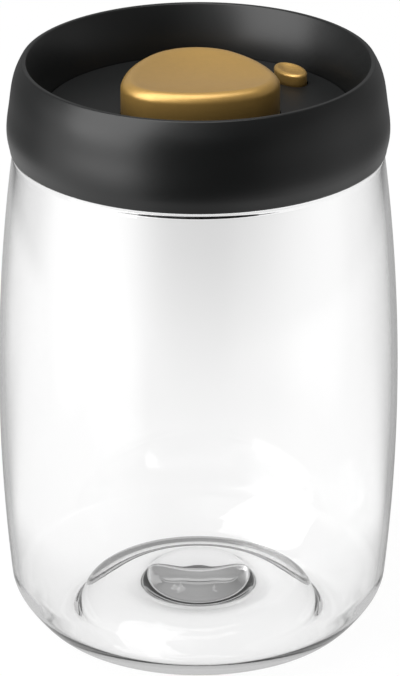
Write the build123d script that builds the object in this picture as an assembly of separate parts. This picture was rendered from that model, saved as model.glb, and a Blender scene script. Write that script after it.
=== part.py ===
from build123d import *
import math
import os

os.makedirs("parts", exist_ok=True)

# Vacuum canister: a glass jar and a lid with a hand pump and an air release. Sizes are in millimetres,
# +Z is up, and the origin is the middle of the ring that the jar stands on.

# Whole object
jar_height = 145.7
lid_radius = 51.9
recess_depth = 13.9
overrun = 1.0
slide_gap = 0.4
seat_gap = 0.1

# Glass jar
belly_bulge = 3.2
belly_height = 72.0
shoulder_inset = 1.1
neck_height = 5.8
neck_gap = 2.0
neck_wall = 2.0
glass_wall = 1.6
neck_blend = 1.0
rim_round = 0.6
shoulder_thickness = 1.1
corner_inset = 2.9
corner_height = 15.5
knee_inset = 7.8
knee_height = 6.0
foot_inset = 15.9
foot_width = 1.6
foot_lean_shares = (0.12, 0.02)
foot_glass = 2.0
heel_shares = ((0.0, 0.0), (0.31, 0.13), (0.6, 0.34), (0.86, 0.62))
hill_radius = 33.7
hill_height = 9.2
hill_shares = ((0.79, 1.0), (0.89, 0.85), (0.95, 0.61), (1.0, 0.24), (1.08, 0.035))
bump_radius = 20.6
bump_height = 5.7
bump_shares = ((0.0, 1.0), (0.32, 0.95), (0.6, 0.755), (0.745, 0.49), (0.855, 0.245), (1.0, 0.105))
base_glass = 1.9
hollow_shares = ((1.027, 0.075), (0.973, 0.31), (0.92, 0.665), (0.85, 0.88), (0.74, 1.0), (0.56, 0.99), (0.0, 0.99))

# Lid stack, from the glass rim upwards
gasket_flange = 0.8
plug_flange = 1.2
shell_ledge = 1.8
panel_thickness = 1.8

# Lid shell
shell_wall = 1.9
skirt_drop = 5.2
skirt_taper = 0.7
widest_rise = 3.5
rim_inset = 4.0
rim_width = 1.2
rim_edge_round = 0.55
shell_side_shares = ((0.15, 0.425), (0.5, 0.80))
recess_inset = 9.6
recess_bulge = 0.9
ledge_width = 2.5
cavity_rise = 6.9
cavity_width = 1.4

# Inner lid, the plug in the mouth
plug_gap = 1.8
plug_wall = 1.8
chamber_height = 8.5
plug_floor = 1.4
bead_width = 0.7
bead_height = 0.6
snap_lip_width = 0.5
snap_lip_height = 0.4

# Main gasket
gasket_wall = 0.7
lip_gap = 0.25
lip_thickness = 0.7
lip_droop = 0.6
lip_shares = (0.3, 0.72)

# Lid panel and its guides
panel_gap = 0.2
panel_edge_round = 0.3
button_gap = 0.35
guide_wall = 1.3
pump_guide_drop = 0.8
release_guide_drop = 2.2

# Screws
screw_places = 5
screw_inset = 5.9
boss_radius = 2.9
screw_radius = 1.1
screw_gap = 0.05
screw_length = 8.0
head_radius = 2.1
head_height = 1.2
recess_roof = 1.6
recess_wall = 1.5
drive_radius = 0.75
drive_depth = 0.7

# Pump button
pump_stand = 9.85
pump_travel = 6.0
pump_side_reach = 19.45
pump_side_arc = 38.0
pump_corner_arc = 12.6
pump_turn = 5.8
cap_wall = 1.8
cap_roof = 3.75
cap_edge_round = 2.7
cap_skirt = 2.4
dish_depth = 1.5
dish_radius = 19.0

# Carrier under the pump button
carrier_plate = 1.6
leg_thickness = 1.5
leg_width = 7.0
barb_height = 1.2
barb_bite = 0.9
tube_wall = 1.4
window_width = 5.0
window_height = 2.4

# Pump cylinder and piston
bore_radius = 11.5
cylinder_wall = 1.5
cylinder_floor = 1.4
cylinder_flange = 2.0
flange_margin = 1.0
cylinder_gap = 0.3
seal_cover = 0.6
oring_radius = 0.55
piston_height = 4.6
piston_gap = 0.35
piston_web = 1.4
piston_wall = 1.2
seal_depth = 1.8
seal_height = 2.2
seal_gap = 0.06
seal_side_gap = 0.05
cup_depth = 1.1
cup_width = 0.7
collar_height = 2.6
collar_wall = 0.9

# Umbrella valves
umbrella_radius = 5.3
umbrella_edge = 0.5
umbrella_height = 1.2
valve_stem = 1.45
valve_stem_gap = 0.05
bulb_bulge = 0.75
bulb_height = 1.4
vent_holes = 6
vent_radius = 1.0
vent_ring_radius = 3.5

# Springs
pump_wire = 0.5
pump_turns = 4.5
release_wire = 0.25
release_turns = 6.0

# Air release
release_inset = 5.85
release_direction = 41.8
release_travel = 2.2
release_pressed_stand = 1.2
release_half_length = 6.2
release_half_width = 3.8
release_turn = 120.0
release_edge_round = 0.7
release_dish_depth = 0.5
release_dish_arc = 14.0
release_skirt = 1.0
stem_radius = 1.45
stem_socket = 1.5
spring_pocket = 2.8
pocket_roof = 2.8
vent_bore_radius = 2.3
release_boss_height = 1.6
release_boss_wall = 1.2
release_seal_radius = 3.7
release_seal_height = 1.9
release_seal_lip = 0.6
stem_head_radius = 2.6
stem_head_height = 0.9
port_margin = 1.4
port_collar_wall = 1.2
port_collar_height = 1.6

# Valve cover and filter under the inner lid
cover_plate = 1.2
cover_gap = 0.2
well_gap = 1.4
well_wall = 1.2
well_floor = 1.2
well_round = 1.0
filter_thickness = 1.0
filter_gap = 0.3
slot_count = 10
slot_length = 5.0
slot_width = 1.6
slot_ring_share = 0.6
hub_hole_radius = 1.6

# Heights worked out from the sizes above
shoulder_height = jar_height - neck_height
plug_flange_low = jar_height + gasket_flange
shell_low = plug_flange_low + plug_flange
panel_low = shell_low + shell_ledge
deck_height = panel_low + panel_thickness
lid_top = deck_height + recess_depth
skirt_low = jar_height - skirt_drop
floor_high = panel_low - chamber_height
floor_low = floor_high - plug_floor
cover_low = floor_low - cover_plate
plug_low = cover_low - snap_lip_height
pump_top = deck_height + pump_stand
carrier_high = pump_top - cap_roof
carrier_low = carrier_high - carrier_plate
cap_low = deck_height - cap_skirt
pump_guide_low = panel_low - pump_guide_drop
barb_high = min(pump_guide_low, cap_low) - seat_gap
spring_low = floor_high + cylinder_flange
cylinder_high = carrier_low - pump_travel - slide_gap
piston_high = cylinder_high - seal_cover
piston_low = piston_high - piston_height
cylinder_floor_high = piston_low - pump_travel - slide_gap - umbrella_height
cylinder_low = cylinder_floor_high - cylinder_floor
filter_high = cylinder_low - bulb_height - slide_gap
filter_low = filter_high - filter_thickness
well_low = filter_low - well_floor
release_top = deck_height + release_travel + release_pressed_stand
release_low = deck_height - release_skirt - release_guide_drop
release_spring_high = release_top - pocket_roof
release_spring_low = floor_high + release_boss_height
release_seal_high = floor_low - seat_gap
stem_head_high = release_seal_high - release_seal_height
recess_top = floor_low + head_height + seat_gap
pad_high = recess_top + recess_roof

# Radii worked out from the sizes above
jar_radius = lid_radius + belly_bulge
shoulder_radius = lid_radius - shoulder_inset
neck_radius = lid_radius - shell_wall - neck_gap
mouth_radius = neck_radius - neck_wall
plug_radius = mouth_radius - plug_gap
plug_bore = plug_radius - plug_wall
rim_radius = lid_radius - rim_inset
deck_radius = lid_radius - recess_inset
ledge_radius = deck_radius - ledge_width
cover_radius = plug_bore - cover_gap
screw_ring = plug_bore - screw_inset
cylinder_radius = bore_radius + cylinder_wall
spring_radius = (cylinder_radius + pump_side_reach - cap_wall) / 2
flange_radius = spring_radius + pump_wire + flange_margin
well_radius = cylinder_radius + well_gap
collar_radius = umbrella_radius + collar_wall + collar_wall
release_offset = ledge_radius - release_inset
port_radius = release_seal_radius + port_margin


def polar(reach, direction):
    """Point at a distance from the axis, in a direction in degrees."""
    angle = math.radians(direction)
    return Vector(reach * math.cos(angle), reach * math.sin(angle))


def turned(points, rounds=None):
    """Solid of revolution about the upright axis from (radius, height) corners, each with its rounding."""
    if rounds is None:
        outline = Polyline(*points, close=True)
    else:
        outline = FilletPolyline(*points, radius=rounds, close=True)
    return revolve(Plane.XZ * make_face(outline), Axis.Z)


def tube(outer, inner, low, high):
    """Plain ring between two radii and two heights."""
    return turned(((inner, low), (outer, low), (outer, high), (inner, high)))


def rod(radius, low, high):
    """Plain round bar between two heights."""
    return Pos(0, 0, (low + high) / 2) * Cylinder(radius, high - low)


def raised(plan, low, high):
    """Plan outline pulled up between two heights."""
    return extrude(Pos(0, 0, low) * plan, high - low)


def pump_plan(margin=0.0):
    """Plan of the pump button, grown by a margin: three long side arcs joined by three corner arcs."""
    side_arc = pump_side_arc + margin
    corner_arc = pump_corner_arc + margin
    side_centre = pump_side_arc - pump_side_reach
    step = pump_side_arc - pump_corner_arc
    half_turn = math.radians(60)
    across = side_centre * math.sin(half_turn)
    corner_centre = math.sqrt(step**2 - across**2) - side_centre * math.cos(half_turn)
    edges = []
    for side in range(3):
        direction = pump_turn - 90 + 120 * side
        centre = polar(-side_centre, direction)
        before = polar(corner_centre, direction - 60)
        after = polar(corner_centre, direction + 60)
        following = polar(-side_centre, direction + 120)
        start = centre + (before - centre).normalized() * side_arc
        finish = centre + (after - centre).normalized() * side_arc
        onward = following + (after - following).normalized() * side_arc
        edges.append(ThreePointArc(start, polar(pump_side_reach + margin, direction), finish))
        edges.append(ThreePointArc(finish, after + polar(corner_arc, direction + 60), onward))
    return make_face(edges)


def pump_corner_reach(margin=0.0):
    """Distance from the axis to the pump outline's corner."""
    side_centre = pump_side_arc - pump_side_reach
    step = pump_side_arc - pump_corner_arc
    half_turn = math.radians(60)
    across = side_centre * math.sin(half_turn)
    return math.sqrt(step**2 - across**2) - side_centre * math.cos(half_turn) + pump_corner_arc + margin


def release_plan(margin=0.0):
    """Plan of the release button, grown by a margin: an oval beside the pump button."""
    oval = Ellipse(release_half_length + margin, release_half_width + margin)
    return Pos(*polar(release_offset, release_direction)) * Rot(0, 0, release_turn) * oval


def at_release(shape):
    """Shape moved from the axis to the release's own axis."""
    return Pos(*polar(release_offset, release_direction)) * shape


def screw_spots():
    """Places of the lid screws: evenly spaced round the lid, less the one that the release takes."""
    pitch = 360 / screw_places
    return [Pos(*polar(screw_ring, release_direction + pitch * place)) for place in range(1, screw_places)]


def spread(shares, reach, low, rise, inner=0.0):
    """Outline points from shares of a reach beyond an inner radius and of a rise above a height."""
    return [(inner + reach * out, low + rise * up) for out, up in shares]


def glass_jar():
    """Blown jar: bulging wall, rounded base corner, domed base and a straight neck inside the lid."""
    corner_radius = jar_radius - corner_inset
    side = ThreePointArc(
        (corner_radius, corner_height),
        (jar_radius, belly_height),
        (shoulder_radius, shoulder_height - neck_blend * 2),
    )
    inner_side = ThreePointArc(
        (corner_radius - glass_wall, corner_height + glass_wall),
        (jar_radius - glass_wall, belly_height),
        (shoulder_radius - glass_wall, shoulder_height - neck_blend * 2 - shoulder_thickness),
    )
    climb = side % 1
    shoulder = side @ 1 + climb * ((shoulder_height - (side @ 1).Y) / climb.Y)
    inner_climb = inner_side % 1
    inner_shoulder_height = shoulder_height - shoulder_thickness
    inner_shoulder = inner_side @ 1 + inner_climb * ((inner_shoulder_height - (inner_side @ 1).Y) / inner_climb.Y)
    neck = FilletPolyline(
        side @ 1,
        shoulder,
        (neck_radius, shoulder_height),
        (neck_radius, jar_height),
        (mouth_radius, jar_height),
        (mouth_radius, inner_shoulder_height),
        inner_shoulder,
        inner_side @ 1,
        radius=[neck_blend, neck_blend, rim_round, rim_round, neck_blend, neck_blend],
    )
    foot_radius = jar_radius - foot_inset
    outer_lean, inner_lean = foot_lean_shares
    corner = Spline(
        side @ 0,
        (jar_radius - knee_inset, knee_height),
        (foot_radius, 0),
        tangents=((side % 0) * -1, (-1, -outer_lean)),
    )
    foot_inner = foot_radius - foot_width
    foot = Line((foot_radius, 0), (foot_inner, 0))
    hill_top = foot_glass + hill_height
    hollow_top = hill_top - base_glass
    underside = Spline(
        (foot_inner, 0),
        *spread(hollow_shares, hill_radius, 0, hollow_top),
        tangents=((-1, inner_lean), (-1, 0)),
    )
    heel = inner_side @ 0
    inside = Spline(
        *spread(bump_shares, bump_radius, hill_top, bump_height),
        *spread(hill_shares, hill_radius, foot_glass, hill_height),
        *spread(heel_shares, heel.X - foot_radius, foot_glass, heel.Y - foot_glass, foot_radius),
        heel,
        tangents=((1, 0), inner_side % 0),
    )
    middle = Line(underside @ 1, inside @ 0)
    outline = make_face([side, neck, inner_side, inside, middle, underside, foot, corner])
    return revolve(Plane.XZ * outline, Axis.Z)


def lid_shell():
    """Outer ring of the lid: curved skirt, narrow rim and dished wall down to a ledge for the panel."""
    widest = skirt_low + widest_rise
    climb = lid_top - widest
    side_points = [(lid_radius - rim_inset * drop, widest + climb * rise) for drop, rise in shell_side_shares]
    side = Spline(
        (lid_radius - skirt_taper, skirt_low),
        (lid_radius, widest),
        *side_points,
        (rim_radius, lid_top),
    )
    recess_top_radius = rim_radius - rim_width
    middle_radius = (recess_top_radius + deck_radius) / 2 + recess_bulge
    dish = ThreePointArc(
        (recess_top_radius, lid_top),
        (middle_radius, (lid_top + deck_height) / 2),
        (deck_radius, deck_height),
    )
    rim = Line(side @ 1, dish @ 0)
    cavity_top = deck_height + cavity_rise
    back_radius = middle_radius + shell_wall
    foot = Polyline(
        dish @ 1,
        (deck_radius, panel_low),
        (ledge_radius, panel_low),
        (ledge_radius, shell_low),
        (deck_radius + shell_wall, shell_low),
        (deck_radius + shell_wall, deck_height),
    )
    back = Line(foot @ 1, (back_radius, cavity_top))
    roof = Line(back @ 1, (back_radius + cavity_width, cavity_top))
    inner_side = Spline(
        roof @ 1,
        (lid_radius - shell_wall, widest),
        tangents=((cavity_width, -cavity_rise), (0, -1)),
    )
    skirt = Polyline(inner_side @ 1, (lid_radius - shell_wall, skirt_low), side @ 0)
    outline = make_face([side, rim, dish, foot, back, roof, inner_side, skirt])
    ring = revolve(Plane.XZ * outline, Axis.Z)
    return fillet(ring.edges().group_by(Axis.Z)[-1], rim_edge_round)


def lid_panel():
    """Floor of the recess: a disc with a guide round each button and bosses for the lid screws."""
    disc = rod(deck_radius - panel_gap, panel_low, deck_height)
    disc = fillet(disc.edges().group_by(Axis.Z)[-1], panel_edge_round)
    disc += raised(pump_plan(button_gap + guide_wall), pump_guide_low, panel_low)
    disc += raised(release_plan(button_gap + guide_wall), panel_low - release_guide_drop, panel_low)
    for spot in screw_spots():
        disc += spot * rod(boss_radius, pad_high, panel_low)
        disc -= spot * rod(screw_radius + screw_gap, pad_high - overrun, panel_low)
    disc -= raised(pump_plan(button_gap), pump_guide_low - overrun, deck_height + overrun)
    disc -= raised(release_plan(button_gap), panel_low - release_guide_drop - overrun, deck_height + overrun)
    return disc


def inner_lid():
    """Plug in the mouth: flange over the gasket, wall, floor with the pump hole, screw pads and air vent."""
    hole_radius = cylinder_radius + cylinder_gap
    body = turned(
        (
            (hole_radius, floor_low),
            (plug_bore, floor_low),
            (plug_bore, cover_low),
            (plug_bore - snap_lip_width, cover_low),
            (plug_bore - snap_lip_width, plug_low),
            (plug_radius + bead_width, plug_low),
            (plug_radius + bead_width, plug_low + bead_height),
            (plug_radius, plug_low + bead_height),
            (plug_radius, plug_flange_low),
            (neck_radius, plug_flange_low),
            (neck_radius, shell_low),
            (plug_bore, shell_low),
            (plug_bore, floor_high),
            (hole_radius, floor_high),
        )
    )
    for spot in screw_spots():
        body += spot * rod(head_radius + seat_gap + recess_wall, floor_high, pad_high)
        body -= spot * rod(head_radius + seat_gap, floor_low - overrun, recess_top)
        body -= spot * rod(screw_radius + screw_gap, recess_top, pad_high + overrun)
    body += at_release(rod(vent_bore_radius + release_boss_wall, floor_high, release_spring_low))
    body -= at_release(rod(vent_bore_radius, floor_low - overrun, release_spring_low + overrun))
    return body


def main_gasket():
    """Silicone ring: flange between the glass rim and the inner lid, sleeve round the plug, and two lips."""
    inner = plug_radius + seat_gap
    outer = inner + gasket_wall
    low = plug_low + bead_height + seat_gap
    ring = turned(
        (
            (inner, low),
            (outer, low),
            (outer, jar_height),
            (neck_radius, jar_height),
            (neck_radius, plug_flange_low),
            (inner, plug_flange_low),
        )
    )
    reach = mouth_radius - lip_gap
    sleeve = jar_height - low
    for share in lip_shares:
        root = low + sleeve * share
        ring += turned(
            (
                (inner + gasket_wall / 2, root),
                (reach, root + lip_droop),
                (reach, root + lip_droop + lip_thickness / 2),
                (inner + gasket_wall / 2, root + lip_thickness),
            )
        )
    return ring


def pump_cylinder():
    """Cup for the piston: hangs by its flange in the inner lid and has inlet holes round the valve stem."""
    groove_radius = cylinder_radius + oring_radius * 2
    groove_half = oring_radius + seat_gap
    cup = turned(
        (
            (0, cylinder_low),
            (cylinder_radius, cylinder_low),
            (cylinder_radius, floor_high),
            (groove_radius - groove_half, floor_high),
            (groove_radius - groove_half, floor_high + oring_radius * 2),
            (groove_radius + groove_half, floor_high + oring_radius * 2),
            (groove_radius + groove_half, floor_high),
            (flange_radius, floor_high),
            (flange_radius, spring_low),
            (cylinder_radius, spring_low),
            (cylinder_radius, cylinder_high),
            (bore_radius, cylinder_high),
            (bore_radius, cylinder_floor_high),
            (0, cylinder_floor_high),
        )
    )
    return cup - valve_holes(cylinder_low, cylinder_floor_high)


def valve_holes(low, high):
    """Cutters for an umbrella valve: the stem's hole and a ring of air holes."""
    holes = rod(valve_stem + valve_stem_gap, low - overrun, high + overrun)
    for hole in range(vent_holes):
        spot = polar(vent_ring_radius, 360 / vent_holes * hole)
        holes += Pos(*spot) * rod(vent_radius, low - overrun, high + overrun)
    return holes


def umbrella_valve(seat, web):
    """Silicone umbrella: thin cap on its seat, stem through the web and a bulb that holds it below."""
    bulb_radius = valve_stem + bulb_bulge
    below = seat - web
    return turned(
        (
            (0, below - bulb_height),
            (valve_stem, below - bulb_height),
            (bulb_radius, below),
            (valve_stem, below),
            (valve_stem, seat),
            (umbrella_radius, seat),
            (umbrella_radius, seat + umbrella_edge),
            (valve_stem, seat + umbrella_height),
            (0, seat + umbrella_height),
        )
    )


def cylinder_oring():
    """Ring in the groove under the cylinder's flange."""
    return Pos(0, 0, floor_high + oring_radius) * Torus(cylinder_radius + oring_radius * 2, oring_radius)


def pump_button():
    """Gold cap: rounded triangle with a rounded edge, a dished top and a hollow for the carrier."""
    cap = raised(pump_plan(), cap_low, pump_top)
    cap = fillet(cap.edges().group_by(Axis.Z)[-1], cap_edge_round)
    dish_arc = (dish_radius**2 + dish_depth**2) / (2 * dish_depth)
    cap -= Pos(0, 0, pump_top - dish_depth + dish_arc) * Sphere(dish_arc)
    return cap - raised(pump_plan(-cap_wall), cap_low - overrun, carrier_high)


def carrier_leg(direction):
    """Snap leg at a corner of the carrier, with a barb that catches under the panel's guide."""
    inner = pump_corner_reach(-cap_wall) - seat_gap - leg_thickness
    low = barb_high - barb_height
    blank = Box(pump_corner_reach(), leg_width, carrier_low - low, align=(Align.MIN, Align.CENTER, Align.MIN))
    outline = raised(pump_plan(-cap_wall - seat_gap), low, carrier_low)
    outline += raised(pump_plan(button_gap + barb_bite), low, barb_high)
    return Rot(0, 0, direction) * Pos(inner, 0, low) * blank & outline


def button_carrier():
    """Frame under the cap: plate, tube down to the piston with air windows, and three snap legs."""
    tube_inner = collar_radius + seat_gap
    frame = raised(pump_plan(-cap_wall - seat_gap), carrier_low, carrier_high)
    frame += tube(tube_inner + tube_wall, tube_inner, piston_high, carrier_low)
    window_low = piston_high + collar_height
    for side in range(3):
        direction = pump_turn - 90 + 120 * side
        window = Box(collar_radius * 2, window_width, window_height, align=(Align.MIN, Align.CENTER, Align.MIN))
        frame -= Rot(0, 0, direction) * Pos(0, 0, window_low) * window
        frame += carrier_leg(direction + 60)
    return frame


def piston():
    """Piston head: web with outlet holes, skirt with the seal's groove, and a collar inside the tube."""
    outer = bore_radius - piston_gap
    groove = outer - seal_depth
    skirt_bore = groove - piston_wall
    groove_low = piston_low + (piston_height - piston_web - seal_height) / 2
    web_low = piston_high - piston_web
    head = turned(
        (
            (skirt_bore, piston_low),
            (outer, piston_low),
            (outer, groove_low),
            (groove, groove_low),
            (groove, groove_low + seal_height),
            (outer, groove_low + seal_height),
            (outer, piston_high),
            (collar_radius, piston_high),
            (collar_radius, piston_high + collar_height),
            (collar_radius - collar_wall, piston_high + collar_height),
            (collar_radius - collar_wall, piston_high),
            (0, piston_high),
            (0, web_low),
            (skirt_bore, web_low),
        )
    )
    return head - valve_holes(web_low, piston_high)


def piston_seal():
    """Cup seal in the piston's groove, open downwards so that pressure spreads its lip on the bore."""
    groove = bore_radius - piston_gap - seal_depth
    low = piston_low + (piston_height - piston_web - seal_height) / 2 + seal_side_gap
    high = low + seal_height - seal_side_gap * 2
    inner = groove + seal_side_gap
    outer = bore_radius - seal_gap
    middle = (inner + outer) / 2
    return turned(
        (
            (inner, low),
            (middle - cup_width / 2, low),
            (middle, low + cup_depth),
            (middle + cup_width / 2, low),
            (outer, low),
            (outer, high),
            (inner, high),
        )
    )


def coil(radius, wire, low, high, turns):
    """Compression spring as one tube along quarter turns, each of two arcs, with its ends ground flat."""
    steps = round(turns * 4)
    rise = (high - low) / steps
    turn = math.pi / 2
    arcs = []
    for step in range(steps):
        points = []
        courses = []
        for end in (step, step + 1):
            angle = turn * end
            points.append(Vector(radius * math.cos(angle), radius * math.sin(angle), low + rise * end))
            courses.append(
                Vector(-radius * math.sin(angle), radius * math.cos(angle), rise / turn).normalized()
            )
        chord = points[1] - points[0]
        spread = 2 * (1 - courses[0].dot(courses[1]))
        drift = chord.dot(courses[0] + courses[1])
        arm = (math.sqrt(drift**2 + spread * chord.dot(chord)) - drift) / spread
        first = points[0] + courses[0] * arm
        second = points[1] - courses[1] * arm
        meeting = (first + second) / 2
        arcs.append(TangentArc(points[0], meeting, tangent=courses[0]))
        arcs.append(TangentArc(meeting, points[1], tangent=second - first))
    path = Wire(arcs)
    section = Plane(path @ 0, z_dir=path % 0) * Circle(wire)
    wound = sweep(section, path=path)
    print("coil of radius", radius, "least gap between turns", round(rise * 4 - wire * 2, 2))
    return wound & tube(radius + wire * 2, radius - wire * 2, low, high)


def lid_screws():
    """Four pan head screws that pull the panel down on the shell's ledge and the inner lid."""
    screw = rod(head_radius, recess_top - head_height, recess_top)
    screw += rod(screw_radius, recess_top, recess_top + screw_length)
    cross = Box(drive_radius * 4, drive_radius, drive_depth) + Box(drive_radius, drive_radius * 4, drive_depth)
    screw -= Pos(0, 0, recess_top - head_height + drive_depth / 2) * cross
    return Compound(children=[spot * screw for spot in screw_spots()])


def valve_cover():
    """Cover under the inner lid: plate, well round the pump with air slots, and a port for the release."""
    inner = well_radius
    outer = inner + well_wall
    cover = turned(
        (
            (0, well_low),
            (outer, well_low),
            (outer, cover_low),
            (cover_radius, cover_low),
            (cover_radius, floor_low),
            (inner, floor_low),
            (inner, filter_low),
            (0, filter_low),
        ),
        [0, well_round, 0, 0, 0, 0, 0, 0],
    )
    cover += at_release(rod(port_radius + port_collar_wall, cover_low - port_collar_height, cover_low))
    cover -= at_release(rod(port_radius, cover_low - port_collar_height - overrun, floor_low + overrun))
    cover -= rod(hub_hole_radius, well_low - overrun, filter_low + overrun)
    slot = extrude(SlotOverall(slot_length, slot_width), well_floor + overrun * 2)
    for place in range(slot_count):
        spot = polar(well_radius * slot_ring_share, 360 / slot_count * place)
        cover -= Pos(spot.X, spot.Y, well_low - overrun) * Rot(0, 0, 360 / slot_count * place) * slot
    return cover


def release_button():
    """Small gold oval cap with a dished top, a socket for the stem and a pocket for its spring."""
    cap = raised(release_plan(), release_low, release_top)
    cap = fillet(cap.edges().group_by(Axis.Z)[-1], release_edge_round)
    ball_height = release_top - release_dish_depth + release_dish_arc
    cap -= at_release(Pos(0, 0, ball_height) * Sphere(release_dish_arc))
    cap -= at_release(rod(spring_pocket, release_low - overrun, release_spring_high))
    return cap - at_release(rod(stem_radius, release_spring_high - overrun, release_spring_high + stem_socket))


def release_stem():
    """Pin from the release button through the vent, with a head that carries the seal."""
    low = stem_head_high - stem_head_height
    pin = rod(stem_radius, stem_head_high, release_spring_high + stem_socket)
    return at_release(pin + rod(stem_head_radius, low, stem_head_high))


def release_seal():
    """Silicone ring on the stem's head, with a raised lip that closes the vent from below."""
    inner = stem_radius + seal_side_gap
    lip_inner = release_seal_radius - release_seal_lip * 2
    return at_release(
        turned(
            (
                (inner, stem_head_high),
                (release_seal_radius - release_seal_lip, stem_head_high),
                (release_seal_radius, release_seal_high - release_seal_lip),
                (release_seal_radius - release_seal_lip / 2, release_seal_high),
                (lip_inner, release_seal_high),
                (lip_inner - release_seal_lip / 2, release_seal_high - release_seal_lip),
                (inner, release_seal_high - release_seal_lip),
            )
        )
    )


def release_spring():
    """Fine coil round the stem, from the vent's boss up into the release button."""
    radius = (stem_radius + spring_pocket) / 2
    return at_release(coil(radius, release_wire, release_spring_low, release_spring_high, release_turns))


parts = {
    "glass_jar": glass_jar(),
    "lid_shell": lid_shell(),
    "lid_panel": lid_panel(),
    "inner_lid": inner_lid(),
    "main_gasket": main_gasket(),
    "pump_cylinder": pump_cylinder(),
    "cylinder_oring": cylinder_oring(),
    "intake_valve": umbrella_valve(cylinder_floor_high, cylinder_floor),
    "pump_spring": coil(spring_radius, pump_wire, spring_low, carrier_low, pump_turns),
    "pump_button": pump_button(),
    "button_carrier": button_carrier(),
    "piston": piston(),
    "piston_seal": piston_seal(),
    "exhaust_valve": umbrella_valve(piston_high, piston_web),
    "lid_screws": lid_screws(),
    "valve_cover": valve_cover(),
    "filter_felt": rod(well_radius - filter_gap, filter_low, filter_high),
    "release_button": release_button(),
    "release_stem": release_stem(),
    "release_seal": release_seal(),
    "release_spring": release_spring(),
}
for name, shape in parts.items():
    export_step(shape, f"parts/{name}.step")
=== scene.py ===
import math

import bmesh
import bpy
import numpy as np
from mathutils import Matrix, Vector


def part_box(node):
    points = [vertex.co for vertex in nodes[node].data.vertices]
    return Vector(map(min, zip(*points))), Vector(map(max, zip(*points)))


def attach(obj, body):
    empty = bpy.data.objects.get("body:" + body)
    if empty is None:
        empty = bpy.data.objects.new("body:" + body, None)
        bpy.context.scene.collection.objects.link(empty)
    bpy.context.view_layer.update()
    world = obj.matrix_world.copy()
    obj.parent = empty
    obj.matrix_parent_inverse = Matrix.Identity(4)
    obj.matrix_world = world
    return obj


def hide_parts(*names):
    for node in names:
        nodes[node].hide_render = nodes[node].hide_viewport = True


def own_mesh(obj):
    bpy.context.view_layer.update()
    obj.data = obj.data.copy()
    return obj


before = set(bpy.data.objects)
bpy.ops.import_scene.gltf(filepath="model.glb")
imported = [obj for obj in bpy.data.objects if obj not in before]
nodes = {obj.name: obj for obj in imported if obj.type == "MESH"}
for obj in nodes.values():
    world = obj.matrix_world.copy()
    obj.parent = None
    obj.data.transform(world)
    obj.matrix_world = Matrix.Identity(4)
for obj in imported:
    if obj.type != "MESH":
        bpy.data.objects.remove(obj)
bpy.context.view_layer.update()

scene = bpy.context.scene
scene.view_settings.view_transform = "Standard"
millimetre = 0.001

# The view
# A long lens looks down on the canister from the front, as products are photographed. The distance and the
# lens give the photograph's scale, and the small step aside brings the jar's axis to where it stands there.
view_elevation = math.radians(22.67)
view_distance = 1.5
view_height = 0.0838
view_aside = 0.00044
lens_length = 289.45
sensor_width = 36.0

camera = bpy.data.objects.new("camera", bpy.data.cameras.new("camera"))
scene.collection.objects.link(camera)
camera.data.lens = lens_length
camera.data.sensor_width = sensor_width
camera.location = (
    view_aside,
    -view_distance * math.cos(view_elevation),
    view_height + view_distance * math.sin(view_elevation),
)
camera.rotation_euler = (math.pi / 2 - view_elevation, 0, 0)
scene.camera = camera

# The studio
# A white table in a white room, with a large softbox at the left and one overhead. Gloss mirrors grey cards
# instead, graded by direction and, on the table, by distance too. Glass shows a soft shade behind the jar.
room_white = 1.0
room_fill = 0.14
card_low_angle = 8
card_high_angle = 20
# Levels of the cards by azimuth in degrees, counted from the front.
near_ground_levels = {
    -180: 0.25, -120: 0.2, -90: 1.0, -40: 0.5, -15: 0.0, 30: 0.0, 60: 0.3, 90: 0.5, 120: 0.25, 180: 0.25,
}
upper_levels = {
    -180: 0.34, -150: 0.25, -125: 0.2, -90: 0.4, -40: 0.6, -10: 0.6,
    5: 0.28, 20: 0.08, 60: 0.15, 90: 0.25, 125: 0.2, 150: 0.3, 180: 0.34,
}
table_radius = 3.0
table_facets = 64
table_white = 0.97
table_bounce = 0.24
table_paint = 0.05
table_foot = 0.55
# Each zone of the table: where it starts and is full, from the middle, and its cards' levels by azimuth.
table_zones = (
    (0.085, 0.115, {
        -180: 0.45, -125: 0.5, -105: 1.0, -35: 1.0, -15: 0.6,
        15: 0.6, 35: 1.0, 105: 1.0, 125: 0.45, 180: 0.45,
    }),
    (0.17, 0.30, {
        -180: 0.45, -150: 0.5, -120: 0.8, -95: 1.1, -38: 1.1, -24: 0.0,
        0: 0.0, 35: 0.25, 62: 0.9, 90: 0.9, 120: 0.5, 150: 0.42, 180: 0.42,
    }),
    (0.38, 0.48, {
        -180: 0.15, -110: 0.15, -90: 1.0, -45: 1.5, -20: 0.0,
        20: 0.0, 60: 0.3, 90: 0.5, 130: 0.2, 180: 0.15,
    }),
)
shade_middle = (0.004, 0.36)
shade_narrowing = 5.2
shade_start = 0.04
shade_end = 0.25
shade_level = 0.7
softboxes = {
    "key_softbox": {
        "azimuth": -58, "elevation": 32, "distance": 0.85, "width": 0.80, "height": 1.15, "glow": 3.1,
    },
    "top_softbox": {
        "azimuth": -30, "elevation": 84, "distance": 0.95, "width": 0.8, "height": 0.6, "glow": 2.6,
    },
}
softbox_aim = 0.1


def add_node(tree, kind, links=None, settings=None, **values):
    """Adds a node: links feed its inputs from other sockets, settings are its own, values fill its inputs."""
    node = tree.nodes.new(kind)
    for name, value in (settings or {}).items():
        setattr(node, name, value)
    for name, value in values.items():
        node.inputs[int(name[1:]) if name[0] == "_" else name.replace("_", " ")].default_value = value
    for name, source in (links or {}).items():
        tree.links.new(source, node.inputs[name])
    return node


def grey(level):
    """Opaque grey of a linear level."""
    return (level, level, level, 1)


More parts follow.
